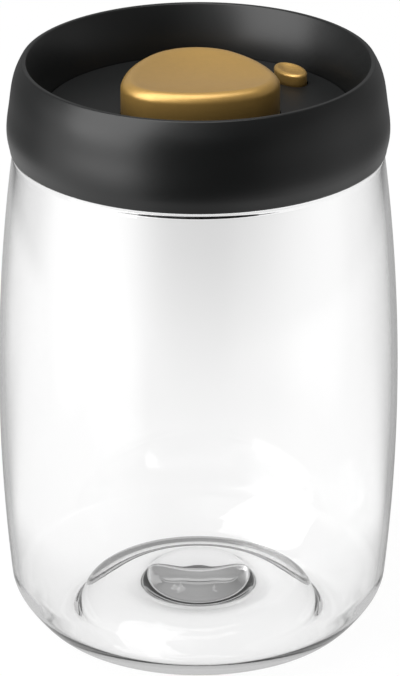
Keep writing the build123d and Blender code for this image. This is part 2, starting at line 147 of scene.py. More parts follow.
def levels_around(tree, direction, levels):
    """Grey that changes with the direction about the upright axis, from azimuths counted from the front."""
    parts = add_node(tree, "ShaderNodeSeparateXYZ", {0: direction})
    front = add_node(tree, "ShaderNodeMath", {0: parts.outputs["Y"]}, {"operation": "MULTIPLY"}, _1=-1.0)
    sides = {0: parts.outputs["X"], 1: front.outputs[0]}
    azimuth = add_node(tree, "ShaderNodeMath", sides, {"operation": "ARCTAN2"})
    turn = add_node(
        tree, "ShaderNodeMapRange", {0: azimuth.outputs[0]}, None, From_Min=-math.pi, From_Max=math.pi
    )
    ramp = add_node(tree, "ShaderNodeValToRGB", {0: turn.outputs[0]})
    ramp.color_ramp.interpolation = "EASE"
    stops = ramp.color_ramp.elements
    for place in range(len(levels) - len(stops)):
        stops.new(0.5)
    for stop, (degrees, level) in zip(stops, levels.items()):
        stop.position = degrees / 360 + 0.5
        stop.color = grey(level)
    return ramp.outputs[0]


def seen_as(tree, plain, fill, mirrored):
    """Plain for the eye and through glass, the fill level for light on matt faces, and mirrored in gloss."""
    path = add_node(tree, "ShaderNodeLightPath")
    above = {"operation": "GREATER_THAN"}
    matt = add_node(tree, "ShaderNodeMath", {0: path.outputs["Diffuse Depth"]}, above, _1=0.5)
    gloss = add_node(tree, "ShaderNodeMath", {0: path.outputs["Glossy Depth"]}, above, _1=0.5)
    lit = add_node(tree, "ShaderNodeMixRGB", {0: matt.outputs[0], 1: plain}, None, Color2=grey(fill))
    seen = add_node(tree, "ShaderNodeMixRGB", {0: gloss.outputs[0], 1: lit.outputs[0], 2: mirrored})
    return seen.outputs[0]


world = bpy.data.worlds.new("studio")
scene.world = world
world.use_nodes = True
tree = world.node_tree
tree.nodes.clear()
direction = add_node(tree, "ShaderNodeTexCoord").outputs["Generated"]
height = add_node(tree, "ShaderNodeSeparateXYZ", {0: direction}).outputs["Z"]
climb = add_node(
    tree, "ShaderNodeMapRange", {0: height}, {"interpolation_type": "SMOOTHSTEP"},
    From_Min=math.sin(math.radians(card_low_angle)), From_Max=math.sin(math.radians(card_high_angle)),
)
low = levels_around(tree, direction, near_ground_levels)
high = levels_around(tree, direction, upper_levels)
mirrored = add_node(tree, "ShaderNodeMixRGB", {0: climb.outputs[0], 1: low, 2: high})
plain = add_node(tree, "ShaderNodeRGB")
plain.outputs[0].default_value = grey(room_white)
seen = seen_as(tree, plain.outputs[0], room_fill, mirrored.outputs[0])
background = add_node(tree, "ShaderNodeBackground", {0: seen})
add_node(tree, "ShaderNodeOutputWorld", {0: background.outputs[0]})

table_finish = bpy.data.materials.new("white_laminate")
table_finish.use_nodes = True
tree = table_finish.node_tree
tree.nodes.clear()
place = add_node(tree, "ShaderNodeTexCoord").outputs["Object"]
length = {"operation": "LENGTH"}
smooth = {"interpolation_type": "SMOOTHSTEP"}
reach = add_node(tree, "ShaderNodeVectorMath", {0: place}, length).outputs["Value"]
mirrored = add_node(tree, "ShaderNodeRGB")
mirrored.outputs[0].default_value = grey(table_foot)
for start, end, levels in table_zones:
    away = add_node(tree, "ShaderNodeMapRange", {0: reach}, smooth, From_Min=start, From_Max=end)
    cards = levels_around(tree, place, levels)
    mirrored = add_node(tree, "ShaderNodeMixRGB", {0: away.outputs[0], 1: mirrored.outputs[0], 2: cards})
behind = add_node(
    tree, "ShaderNodeMapping", {0: place}, None,
    Location=(-shade_middle[0] * shade_narrowing, -shade_middle[1], 0), Scale=(shade_narrowing, 1, 1),
)
aside = add_node(tree, "ShaderNodeVectorMath", {0: behind.outputs[0]}, length).outputs["Value"]
shade = add_node(
    tree, "ShaderNodeMapRange", {0: aside}, smooth, From_Min=shade_start, From_Max=shade_end,
    To_Min=shade_level, To_Max=table_white,
)
path = add_node(tree, "ShaderNodeLightPath")
through = add_node(
    tree, "ShaderNodeMath", {0: path.outputs["Transmission Depth"]}, {"operation": "GREATER_THAN"}, _1=0.5
)
plain = add_node(
    tree, "ShaderNodeMixRGB", {0: through.outputs[0], 2: shade.outputs[0]}, None, Color1=grey(table_white)
)
seen = seen_as(tree, plain.outputs[0], table_bounce, mirrored.outputs[0])
glow = add_node(tree, "ShaderNodeEmission", {0: seen})
paint = add_node(tree, "ShaderNodeBsdfDiffuse", None, None, Color=grey(table_paint))
both = add_node(tree, "ShaderNodeAddShader", {0: glow.outputs[0], 1: paint.outputs[0]})
add_node(tree, "ShaderNodeOutputMaterial", {0: both.outputs[0]})

shape = bmesh.new()
bmesh.ops.create_circle(shape, cap_ends=True, radius=table_radius, segments=table_facets)
table = bpy.data.objects.new("table", bpy.data.meshes.new("table"))
shape.to_mesh(table.data)
shape.free()
scene.collection.objects.link(table)
table.data.materials.append(table_finish)

for name, box in softboxes.items():
    azimuth = math.radians(box["azimuth"])
    elevation = math.radians(box["elevation"])
    ahead = Vector((
        math.sin(azimuth) * math.cos(elevation),
        -math.cos(azimuth) * math.cos(elevation),
        math.sin(elevation),
    ))
    light = bpy.data.lights.new(name, "AREA")
    light.shape = "RECTANGLE"
    light.size = box["width"]
    light.size_y = box["height"]
    light.energy = box["glow"] * math.pi * box["width"] * box["height"]
    lamp = bpy.data.objects.new(name, light)
    scene.collection.objects.link(lamp)
    lamp.location = Vector((0, 0, softbox_aim)) + ahead * box["distance"]
    lamp.rotation_euler = ahead.to_track_quat("Z", "Y").to_euler()

# Glass jar
# The jar is blown from borosilicate glass: a thin bulging wall, a thicker base that rises in the middle and a
# narrower neck inside the lid. It stands on a narrow ring, and its rim is fire polished round.
jar_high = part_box("glass_jar")[1]
jar_radius = jar_high.x / millimetre
jar_height = jar_high.z / millimetre
glass_wall = 1.6
belly_height = 72.0
shoulder_radius = 50.8
shoulder_height = 139.9
neck_radius = 48.0
mouth_radius = 46.0
shoulder_thickness = 1.1
neck_blend = 1.0
rim_round = 0.6
corner_inset = 2.9
corner_height = 15.5
heel_inset = 7.8
heel_height = 6.0
foot_outer = 39.2
foot_inner = 37.6
foot_lean = 0.12
hollow_lean = foot_lean / 6
floor_points = (
    (0, 16.9), (5.7, 16.6), (10.8, 15.5), (13.3, 14.0), (15.3, 12.6), (17.9, 11.8), (26.6, 11.2), (30.0, 9.8),
    (32.0, 7.6), (33.7, 4.2), (36.4, 2.3), (39.2, 2.0), (42.7, 4.0), (46.0, 7.1), (49.0, 11.4),
)
hollow_points = ((34.6, 0.7), (32.8, 2.9), (31.0, 6.2), (28.6, 8.2), (24.9, 9.3), (18.9, 9.2), (0, 9.2))
glass_facets = 256
merge_reach = 0.001


def smooth_line(points, leaving, arriving, steps=9):
    """Curve of even bend through the points that sets off and arrives in the given directions."""
    points = np.array(points, float)
    ends = [np.array(way, float) / np.linalg.norm(way) for way in (leaving, arriving)]
    spans = np.linalg.norm(np.diff(points, axis=0), axis=1)
    count = len(points)
    system = np.zeros((count, count))
    known = np.zeros((count, 2))
    system[0, 0] = system[-1, -1] = 1
    known[0], known[-1] = ends
    for i in range(1, count - 1):
        before, after = spans[i - 1], spans[i]
        system[i, i - 1:i + 2] = after, 2 * (before + after), before
        steps_in = (points[i] - points[i - 1]) / before
        steps_out = (points[i + 1] - points[i]) / after
        known[i] = 3 * (after * steps_in + before * steps_out)
    slopes = np.linalg.solve(system, known)
    line = []
    for i, span in enumerate(spans):
        for t in np.linspace(0, 1, steps, endpoint=False):
            line.append(
                (2 * t**3 - 3 * t**2 + 1) * points[i]
                + (t**3 - 2 * t**2 + t) * span * slopes[i]
                + (3 * t**2 - 2 * t**3) * points[i + 1]
                + (t**3 - t**2) * span * slopes[i + 1]
            )
    return [tuple(point) for point in line] + [tuple(points[-1])]


def arc_through(start, middle, end, steps=40):
    """Round arc from start to end by way of middle."""
    start, middle, end = (np.array(point, float) for point in (start, middle, end))
    sides = 2 * np.array([middle - start, end - start])
    centre = np.linalg.solve(sides, [middle @ middle - start @ start, end @ end - start @ start])
    first = math.atan2(*(start - centre)[::-1])
    last = math.atan2(*(end - centre)[::-1])
    radius = np.linalg.norm(start - centre)
    angles = np.linspace(first, last, steps + 1)
    return [tuple(centre + radius * np.array((math.cos(a), math.sin(a)))) for a in angles]


def course(points, end):
    """Direction of a line at its start (0) or its end (-1)."""
    first, second = (points[0], points[1]) if end == 0 else (points[-2], points[-1])
    return (second[0] - first[0], second[1] - first[1])


def carried_on(line, height):
    """Point where a line, carried on past its end, reaches a height."""
    across, up = course(line, -1)
    return (line[-1][0] + across / up * (height - line[-1][1]), height)


def rounded_line(corners, radii, steps=8):
    """Straight runs between the corners, each inner corner rounded to its radius."""
    line = [corners[0]]
    for before, corner, after, radius in zip(corners, corners[1:], corners[2:], radii):
        corner = Vector(corner)
        ways = [(Vector(end) - corner).normalized() for end in (before, after)]
        half = ways[0].angle(ways[1]) / 2
        centre = corner + (ways[0] + ways[1]).normalized() * (radius / math.sin(half))
        ends = [corner + way * (radius / math.tan(half)) for way in ways]
        for step in range(steps + 1):
            spot = ends[0].lerp(ends[1], step / steps) - centre
            line.append(tuple(centre + spot.normalized() * radius))
    return line + [corners[-1]]


def join_rings(shape, rings):
    """Faces between each ring of corner points and the next one; a pole is a ring of one point."""
    facets = max(len(ring) for ring in rings)
    for low, high in zip(rings, rings[1:]):
        for step in range(facets):
            ahead = (step + 1) % facets
            places = ((low, step), (low, ahead), (high, ahead), (high, step))
            shape.faces.new(dict.fromkeys(ring[place % len(ring)] for ring, place in places))


def smooth_mesh(name, shape):
    """Mesh of a finished closed shape, smooth and with its faces outward."""
    bmesh.ops.recalc_face_normals(shape, faces=shape.faces)
    for face in shape.faces:
        face.smooth = True
    mesh = bpy.data.meshes.new(name)
    shape.to_mesh(mesh)
    shape.free()
    return mesh


def ring_mesh(name, rings):
    """Closed piece in metres through rings of points in millimetres."""
    shape = bmesh.new()
    rings = [[shape.verts.new(Vector(point) * millimetre) for point in ring] for ring in rings]
    join_rings(shape, rings)
    bmesh.ops.remove_doubles(shape, verts=shape.verts, dist=merge_reach * millimetre)
    piece = bpy.data.objects.new(name, smooth_mesh(name, shape))
    scene.collection.objects.link(piece)
    return piece


def circle(radius, height, facets, centre=(0, 0), start=0.0):
    """Ring of points about an upright axis, or the point on the axis where the radius is nothing."""
    angles = [start + 2 * math.pi * step / facets for step in range(facets if radius else 1)]
    return [(centre[0] + radius * math.cos(a), centre[1] + radius * math.sin(a), height) for a in angles]


def turned_mesh(name, outline, facets):
    """Mesh of a closed outline of (radius, height) points in millimetres, turned about the upright axis."""
    return ring_mesh(name, [circle(radius, height, facets) for radius, height in outline])


def new_finish(name):
    """Empty material that is made of nodes, with its tree."""
    finish = bpy.data.materials.new(name)
    finish.use_nodes = True
    finish.node_tree.nodes.clear()
    return finish, finish.node_tree


wall_foot = (jar_radius - corner_inset, corner_height)
wall_top = (shoulder_radius, shoulder_height - 2 * neck_blend)
outer_wall = arc_through(wall_foot, (jar_radius, belly_height), wall_top)
inner_wall = arc_through(
    (wall_foot[0] - glass_wall, wall_foot[1] + glass_wall),
    (jar_radius - glass_wall, belly_height),
    (wall_top[0] - glass_wall, wall_top[1] - shoulder_thickness),
)
heel = smooth_line(
    [(foot_outer, 0), (jar_radius - heel_inset, heel_height), wall_foot],
    (1, foot_lean),
    course(outer_wall, 0),
)
hollow = smooth_line([(foot_inner, 0), *hollow_points], (-1, hollow_lean), (-1, 0))
floor_line = smooth_line([*floor_points, inner_wall[0]], (1, 0), course(inner_wall, 0))
neck = rounded_line(
    [
        wall_top,
        carried_on(outer_wall, shoulder_height),
        (neck_radius, shoulder_height),
        (neck_radius, jar_height),
        (mouth_radius, jar_height),
        (mouth_radius, shoulder_height - shoulder_thickness),
        carried_on(inner_wall, shoulder_height - shoulder_thickness),
        inner_wall[-1],
    ],
    [neck_blend, neck_blend, rim_round, rim_round, neck_blend, neck_blend],
)
jar_outline = hollow[::-1] + heel + outer_wall[1:-1] + neck + inner_wall[-2::-1] + floor_line[-2::-1]
glass_jar = turned_mesh("clear_jar", jar_outline, glass_facets)

# Borosilicate glass, blown and fire polished: clear right through, with sharp reflections, and grey where the
# wall is seen end on. The mould leaves a slow waviness that only bends the reflections a little.
wave_length = 22.0
wave_depth = 0.006
glass, tree = new_finish("blown_borosilicate_glass")
place = add_node(tree, "ShaderNodeTexCoord").outputs["Object"]
waves = add_node(
    tree, "ShaderNodeTexNoise", {0: place}, None, Scale=1 / (wave_length * millimetre), Detail=1.0
)
relief = add_node(
    tree, "ShaderNodeBump", {"Height": waves.outputs[0]}, None, Strength=1.0, Distance=wave_depth * millimetre
)
clear = add_node(
    tree, "ShaderNodeBsdfPrincipled", {"Normal": relief.outputs[0]}, None,
    Base_Color=grey(1.0), Roughness=0.0, IOR=1.473, Transmission_Weight=1.0,
)
add_node(tree, "ShaderNodeOutputMaterial", {0: clear.outputs[0]})
glass_jar.data.materials.append(glass)
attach(glass_jar, "jar")
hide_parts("glass_jar")

# Inner lid and valve cover
# The inner lid is the plug that goes into the mouth, and the cover clips in under it over the pump and its
# felt. Both are moulded polypropylene in black, left as they come from a lightly eroded steel mould.
inner_black = "#1b1b1b"
inner_roughness = 0.5
erosion_grain = 0.35
erosion_depth = 0.012
moulded_colour_spread = 0.1
moulded_patch_grains = 40
moulded_gloss_spread = 0.04
noise_low = 0.3
noise_high = 0.7


def linear(hex_colour):
    """Linear colour of an sRGB hex value."""
    channels = [int(hex_colour[i:i + 2], 16) / 255 for i in (1, 3, 5)]
    return (*[c / 12.92 if c <= 0.04045 else ((c + 0.055) / 1.055) ** 2.4 for c in channels], 1)


def varied_colour(tree, hex_colour, spread, patch_size):
    """A colour that drifts lighter and darker over patches of the given size in millimetres."""
    place = add_node(tree, "ShaderNodeTexCoord").outputs["Object"]
    patches = add_node(
        tree, "ShaderNodeTexNoise", {0: place}, None, Scale=1 / (patch_size * millimetre), Detail=3.0
    )
    middle = linear(hex_colour)
    ends = [(*[channel * (1 + side * spread) for channel in middle[:3]], 1) for side in (-1, 1)]
    mix = add_node(tree, "ShaderNodeMixRGB", {0: patches.outputs[0]}, None, Color1=ends[0], Color2=ends[1])
    return mix.outputs[0]


def moulded(name, hex_colour, roughness, grain, depth, specular=0.5, subsurface=0.0):
    """Plastic from an eroded mould: fine pits that scatter the gloss, and a colour that drifts slightly."""
    finish, tree = new_finish(name)
    place = add_node(tree, "ShaderNodeTexCoord").outputs["Object"]
    pits = add_node(tree, "ShaderNodeTexNoise", {0: place}, None, Scale=1 / (grain * millimetre), Detail=3.0)
    relief = add_node(
        tree, "ShaderNodeBump", {"Height": pits.outputs[0]}, None, Strength=1.0, Distance=depth * millimetre
    )
    gloss = add_node(
        tree, "ShaderNodeMapRange", {0: pits.outputs[0]}, None,
        From_Min=noise_low, From_Max=noise_high,
        To_Min=roughness - moulded_gloss_spread, To_Max=roughness + moulded_gloss_spread,
    )
    links = {
        "Base Color": varied_colour(tree, hex_colour, moulded_colour_spread, grain * moulded_patch_grains),
        "Roughness": gloss.outputs[0],
        "Normal": relief.outputs[0],
    }
    body = add_node(tree, "ShaderNodeBsdfPrincipled", links, None, IOR=1.5, Subsurface_Weight=subsurface)
    body.inputs["Specular IOR Level"].default_value = specular
    body.inputs["Subsurface Scale"].default_value = millimetre
    add_node(tree, "ShaderNodeOutputMaterial", {0: body.outputs[0]})
    return finish


def finish_nodes(finish, *names):
    """Gives the CAD pieces of these names the finish."""
    for name in names:
        nodes[name].material_slots[0].material = finish


black_polypropylene = moulded(
    "moulded_black_polypropylene", inner_black, inner_roughness, erosion_grain, erosion_depth
)
finish_nodes(black_polypropylene, "inner_lid", "valve_cover")

# Main gasket and the other grey seals
# The gasket's flange lies on the glass rim and its two lips wipe the neck. It, the cylinder's ring, the cup
# seal of the piston and the release seal are pressed from grey silicone, which is a little see-through.
seal_grey = "#8c8c8a"
seal_roughness = 0.46
press_grain = 0.8
press_depth = 0.006
grey_silicone = moulded(
    "pressed_grey_silicone", seal_grey, seal_roughness, press_grain, press_depth,
    specular=0.4, subsurface=0.15,
)
finish_nodes(grey_silicone, "main_gasket", "cylinder_oring", "piston_seal", "release_seal")

# Umbrella valves
# Two small umbrellas of soft natural silicone, one on the cylinder's floor and one on the piston. Air lifts
# the thin edge one way and presses it shut the other way.
valve_white = "#dcdcd8"
valve_roughness = 0.38
natural_silicone = moulded(
    "pressed_natural_silicone", valve_white, valve_roughness, press_grain, press_depth,
    specular=0.4, subsurface=0.3,
)
finish_nodes(natural_silicone, "intake_valve", "exhaust_valve")

# Pump cylinder, piston, button carrier and release stem
# The pump's running parts are injection moulded in white acetal, which slides on itself without grease and
# has a waxy, slightly see-through look.
acetal_white = "#e9e8e3"
acetal_roughness = 0.34
mould_grain = 0.5
mould_depth = 0.003
white_acetal = moulded(
    "moulded_white_acetal", acetal_white, acetal_roughness, mould_grain, mould_depth, subsurface=0.12
)
finish_nodes(white_acetal, "pump_cylinder", "piston", "button_carrier", "release_stem")

# Filter felt
# A disc of needled polyester felt lies in the cover and keeps powder out of the pump. Its face is a tangle of
# fine fibres, drawn here three times as coarse as they are so that they show.
felt_white = "#d9d6cd"
fibre_width = 0.09
fibre_cell = 4 * fibre_width
felt_clump = 1.6
felt_swirl = 0.004
felt_colour_spread = 0.12
felt, tree = new_finish("needled_polyester_felt")
place = add_node(tree, "ShaderNodeTexCoord").outputs["Object"]
bend = add_node(tree, "ShaderNodeTexNoise", {0: place}, None, Scale=1 / (felt_clump * millimetre), Detail=2.0)
swirl = add_node(
    tree, "ShaderNodeMixRGB", {1: place, 2: bend.outputs[1]}, {"blend_type": "ADD"}, _0=felt_swirl
)
fibres = add_node(
    tree, "ShaderNodeTexVoronoi", {0: swirl.outputs[0]}, {"feature": "DISTANCE_TO_EDGE"},
    Scale=1 / (fibre_cell * millimetre),
)
relief = add_node(
    tree, "ShaderNodeBump", {"Height": fibres.outputs[0]}, None,
    Strength=1.0, Distance=fibre_width * millimetre,
)
links = {
    "Base Color": varied_colour(tree, felt_white, felt_colour_spread, felt_clump),
    "Normal": relief.outputs[0],
}
body = add_node(
    tree, "ShaderNodeBsdfPrincipled", links, None, Roughness=0.95, Sheen_Weight=0.4, Sheen_Roughness=0.5
)
add_node(tree, "ShaderNodeOutputMaterial", {0: body.outputs[0]})
finish_nodes(felt, "filter_felt")

# Lid shell
# The outer ring of the lid is one deep moulding in black ABS with a fine matt texture: a skirt round the neck
# of the jar, a narrow rounded rim, and a wall that flares up from the ledge which carries the panel.
shell_low, shell_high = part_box("lid_shell")
lid_radius = shell_high.x / millimetre
lid_top = shell_high.z / millimetre
skirt_low = shell_low.z / millimetre
skirt_points = ((-0.7, 0.0), (0.0, 3.5), (-0.6, 12.51), (-2.0, 20.46), (-4.0, 24.7))
skirt_leaving = (0.15, 1)
skirt_arriving = (-0.6, 1)
rim_width = 1.2
rim_edge_round = 0.55
recess_radius = 42.3
recess_low = 151.3
wall_flare = 0.5
flare_start = 4
ledge_radius = 39.8
ledge_high = 149.5
ledge_low = 147.7
shell_wall = 1.9
cavity_high = 158.2
cavity_roof = 1.4
shell_facets = 256

rim_outer = lid_radius + skirt_points[-1][0]
rim_inner = rim_outer - rim_width
side = smooth_line(
    [(lid_radius + inset, skirt_low + rise) for inset, rise in skirt_points], skirt_leaving, skirt_arriving
)
flare_middle = ((rim_inner + recess_radius) / 2 - wall_flare, (lid_top + recess_low) / 2)
flare = arc_through((rim_inner, lid_top), flare_middle, (recess_radius, recess_low))
# The rim's inner rounding takes the place of the flare's first points.
rim = rounded_line(
    [side[-2], (rim_outer, lid_top), (rim_inner, lid_top), flare[flare_start - 1]],
    [rim_edge_round, rim_edge_round],
)
cavity_radius = flare_middle[0] + shell_wall
ledge = [
    (recess_radius, ledge_high), (ledge_radius, ledge_high), (ledge_radius, ledge_low),
    (recess_radius + shell_wall, ledge_low), (recess_radius + shell_wall, recess_low),
    (cavity_radius, cavity_high), (cavity_radius + cavity_roof, cavity_high),
]
skirt_inside = (lid_radius - shell_wall, skirt_low + skirt_points[1][1])
inside = smooth_line([ledge[-1], skirt_inside], (cavity_roof, ledge_low - cavity_high), (0, -1))
skirt_foot = [(lid_radius - shell_wall, skirt_low), side[0]]
shell_outline = side[:-1] + rim[1:-1] + flare[flare_start:] + ledge + inside[1:] + skirt_foot
shell = turned_mesh("flared_lid_shell", shell_outline, shell_facets)

# Black ABS from an eroded mould: the texture breaks a highlight into a soft even glow.
shell_black = "#0d0e0e"
shell_roughness = 0.33
texture_grain = 0.3
texture_depth = 0.01
black_abs = moulded("textured_black_abs", shell_black, shell_roughness, texture_grain, texture_depth)
shell.data.materials.append(black_abs)
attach(shell, "lid")
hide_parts("lid_shell")

# Lid panel
# The floor of the recess is a separate black ABS disc. Its top keeps the faint rings of the turned mould
# insert, over a finer texture than the shell's.
panel_black = "#191a1a"
panel_roughness = 0.42
ring_pitch = 0.5
ring_depth = 0.006
panel_pit_share = 0.6
panel_colour_spread = 0.15
panel_patch = 9.0
panel_abs, tree = new_finish("ring_textured_black_abs")
place = add_node(tree, "ShaderNodeTexCoord").outputs["Object"]
rings = add_node(
    tree, "ShaderNodeTexWave", {0: place}, {"wave_type": "RINGS", "rings_direction": "Z"},
    Scale=math.pi / 10 / (ring_pitch * millimetre), Distortion=0.6, Detail=2.0, Detail_Scale=1.5,
)
pits = add_node(
    tree, "ShaderNodeTexNoise", {0: place}, None, Scale=1 / (texture_grain * millimetre), Detail=3.0
)
surface = add_node(
    tree, "ShaderNodeMixRGB", {1: rings.outputs[0], 2: pits.outputs[0]}, None, _0=panel_pit_share
)
relief = add_node(
    tree, "ShaderNodeBump", {"Height": surface.outputs[0]}, None,
    Strength=1.0, Distance=ring_depth * millimetre,
)
links = {
    "Base Color": varied_colour(tree, panel_black, panel_colour_spread, panel_patch),
    "Normal": relief.outputs[0],
}
body = add_node(tree, "ShaderNodeBsdfPrincipled", links, None, Roughness=panel_roughness, IOR=1.5)
body.inputs["Specular IOR Level"].default_value = 0.3
add_node(tree, "ShaderNodeOutputMaterial", {0: body.outputs[0]})
finish_nodes(panel_abs, "lid_panel")

# Lid screws
# Four pan head screws go in from below and pull the panel down on the shell and the inner lid. They are cold
# headed steel with a rolled thread and a cross recess, bright zinc plated.
screw_count = 4
screw_places = 5
screw_start = 41.8
screw_ring = 36.5
screw_low, screw_high = (corner.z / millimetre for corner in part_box("lid_screws"))
head_radius = 2.1
head_height = 1.2
head_dome = 0.45
crown_share = 0.02
dome_share = 0.8
dome_rise = 0.4
dome_steps = 6
head_edge_shares = ((0.95, 0.8), (1.0, 1.5))
shank_radius = 1.1
thread_pitch = 0.7
thread_depth = 0.22
rows_per_turn = 8
thread_start_rows = 6
thread_end_rows = 10
tip_start = 0.88
tip_taper = 0.5
cross_reach = 1.3
cross_width = 0.36
cross_depth = 0.7
cross_taper = 0.55
screw_facets = 48
zinc_grey = "#b9bcbe"
zinc_gloss = (0.22, 0.42)
zinc_colour_spread = 0.1
zinc_patch = 2.0


def screw_mesh():
    """One screw with its head down: domed head, then a helical thread that fades out at both ends."""
    outline = [(0, head_height * crown_share)]
    for step in range(1, dome_steps + 1):
        share = step / dome_steps
        outline.append((head_radius * dome_share * share, head_dome * dome_rise * share**2))
    outline += [(head_radius * across, head_dome * up) for across, up in head_edge_shares]
    outline += [(head_radius, head_height), (shank_radius, head_height)]
    shank = screw_high - screw_low - head_height
    rows = round(shank / thread_pitch * rows_per_turn)
    shape = bmesh.new()
    rings = []
    for radius, height in outline:
        rings.append([shape.verts.new(point) for point in circle(radius, height, screw_facets)])
    for row in range(1, rows + 1):
        height = head_height + shank * row / rows
        fade = min(1, row / thread_start_rows, (rows - row) / thread_end_rows)
        taper = 1 - tip_taper * max(0, row / rows - tip_start) / (1 - tip_start)
        ring = []
        for step in range(screw_facets):
            angle = 2 * math.pi * step / screw_facets
            wave = (height / thread_pitch - step / screw_facets) % 1
            cut = thread_depth * fade * (1 - abs(2 * wave - 1))
            radius = (shank_radius - cut) * taper
            ring.append(shape.verts.new((radius * math.cos(angle), radius * math.sin(angle), height)))
        rings.append(ring)
    rings.append([shape.verts.new((0, 0, head_height + shank))])
    join_rings(shape, rings)
    return smooth_mesh("lid_screw", shape)


def cutter_mesh():
    """Cross of two tapered bars that presses the recess into the head."""
    shape = bmesh.new()
    for turn in (0, math.pi / 2):
        made = bmesh.ops.create_cube(shape, size=1)["verts"]
        for vertex in made:
            inside = 1 if vertex.co.z < 0 else cross_taper
            vertex.co = Vector((
                vertex.co.x * 2 * cross_reach * inside,
                vertex.co.y * 2 * cross_width,
                vertex.co.z * 2 * cross_depth,
            ))
            vertex.co.rotate(Matrix.Rotation(turn, 3, "Z"))
    mesh = bpy.data.meshes.new("cross_cutter")
    shape.to_mesh(mesh)
    shape.free()
    return mesh


zinc, tree = new_finish("zinc_plated_steel")
place = add_node(tree, "ShaderNodeTexCoord").outputs["Object"]
cloud = add_node(tree, "ShaderNodeTexNoise", {0: place}, None, Scale=1 / millimetre, Detail=3.0)
gloss = add_node(
    tree, "ShaderNodeMapRange", {0: cloud.outputs[0]}, None, To_Min=zinc_gloss[0], To_Max=zinc_gloss[1]
)
links = {
    "Base Color": varied_colour(tree, zinc_grey, zinc_colour_spread, zinc_patch),
    "Roughness": gloss.outputs[0],
}
body = add_node(tree, "ShaderNodeBsdfPrincipled", links, None, Metallic=1.0)
add_node(tree, "ShaderNodeOutputMaterial", {0: body.outputs[0]})


def grown(name, group, inputs):
    """Plain mesh of a Geometry Nodes tree, run on an empty mesh with these inputs."""
    carrier = bpy.data.objects.new(name, bpy.data.meshes.new(name))
    scene.collection.objects.link(carrier)
    modifier = carrier.modifiers.new("grow", "NODES")
    modifier.node_group = group
    sockets = {item.name: item.identifier for item in group.interface.items_tree if item.in_out == "INPUT"}
    for label, value in inputs.items():
        modifier[sockets[label]] = value
    bpy.context.view_layer.update()
    evaluated = carrier.evaluated_get(bpy.context.evaluated_depsgraph_get())
    mesh = bpy.data.meshes.new_from_object(evaluated)
    carrier.modifiers.remove(modifier)
    carrier.data = mesh
    mesh.name = name
    return carrier


def new_group(name, inputs):
    """Geometry Nodes tree with named inputs and one geometry output, with its input and output nodes."""
    group = bpy.data.node_groups.new(name, "GeometryNodeTree")
    for label, kind in inputs.items():
        group.interface.new_socket(label, in_out="INPUT", socket_type=kind)
    group.interface.new_socket("Geometry", in_out="OUTPUT", socket_type="NodeSocketGeometry")
    return group, group.nodes.new("NodeGroupInput").outputs, group.nodes.new("NodeGroupOutput").inputs


def end_group(group, geometry, material, result):
    """Ends a tree in real geometry with its material."""
    real = add_node(group, "GeometryNodeRealizeInstances", {0: geometry})
    painted = add_node(group, "GeometryNodeSetMaterial", {0: real.outputs[0], "Material": material})
    group.links.new(painted.outputs[0], result)


screw_group, given, result = new_group("screws_in_a_ring", {
    "Screw": "NodeSocketObject", "Ring": "NodeSocketFloat", "Height": "NodeSocketFloat",
    "Scale": "NodeSocketFloat", "Start": "NodeSocketFloat", "Pitch": "NodeSocketFloat",
    "Count": "NodeSocketInt", "Material": "NodeSocketMaterial",
})
row = add_node(screw_group, "GeometryNodePoints", {"Count": given["Count"], "Radius": given["Scale"]})
index = add_node(screw_group, "GeometryNodeInputIndex")
product = {"operation": "MULTIPLY"}
total = {"operation": "ADD"}
steps = add_node(screw_group, "ShaderNodeMath", {0: index.outputs[0], 1: given["Pitch"]}, product)
angle = add_node(screw_group, "ShaderNodeMath", {0: steps.outputs[0], 1: given["Start"]}, total)
across = add_node(screw_group, "ShaderNodeMath", {0: angle.outputs[0]}, {"operation": "COSINE"})
along = add_node(screw_group, "ShaderNodeMath", {0: angle.outputs[0]}, {"operation": "SINE"})
x = add_node(screw_group, "ShaderNodeMath", {0: across.outputs[0], 1: given["Ring"]}, product)
y = add_node(screw_group, "ShaderNodeMath", {0: along.outputs[0], 1: given["Ring"]}, product)
spot = add_node(screw_group, "ShaderNodeCombineXYZ", {0: x.outputs[0], 1: y.outputs[0], 2: given["Height"]})
spread = add_node(screw_group, "GeometryNodeSetPosition", {0: row.outputs[0], "Position": spot.outputs[0]})
model = add_node(screw_group, "GeometryNodeObjectInfo", {"Object": given["Screw"]})
turn = add_node(screw_group, "ShaderNodeCombineXYZ", {2: angle.outputs[0]})
placed = add_node(screw_group, "GeometryNodeInstanceOnPoints", {
    "Points": spread.outputs[0], "Instance": model.outputs["Geometry"], "Rotation": turn.outputs[0],
    "Scale": given["Scale"],
})
end_group(screw_group, placed.outputs[0], given["Material"], result["Geometry"])

pattern = bpy.data.objects.new("screw_pattern", screw_mesh())
cutter = bpy.data.objects.new("cross_cutter", cutter_mesh())
scene.collection.objects.link(pattern)
scene.collection.objects.link(cutter)
press = pattern.modifiers.new("press", "BOOLEAN")
press.operation = "DIFFERENCE"
press.object = cutter
press.use_self = True
bpy.context.view_layer.update()
pressed = bpy.data.meshes.new_from_object(pattern.evaluated_get(bpy.context.evaluated_depsgraph_get()))
pattern.modifiers.remove(press)
pattern.data = pressed
lid_screws = grown("pan_head_screws", screw_group, {
    "Screw": pattern,
    "Ring": screw_ring * millimetre,
    "Height": screw_low * millimetre,
    "Scale": millimetre,
    "Start": math.radians(screw_start + 360 / screw_places),
    "Pitch": 2 * math.pi / screw_places,
    "Count": screw_count,
    "Material": zinc,
})
for scrap in (pattern, cutter):
    bpy.data.objects.remove(scrap)
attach(lid_screws, "lid")
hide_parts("lid_screws")

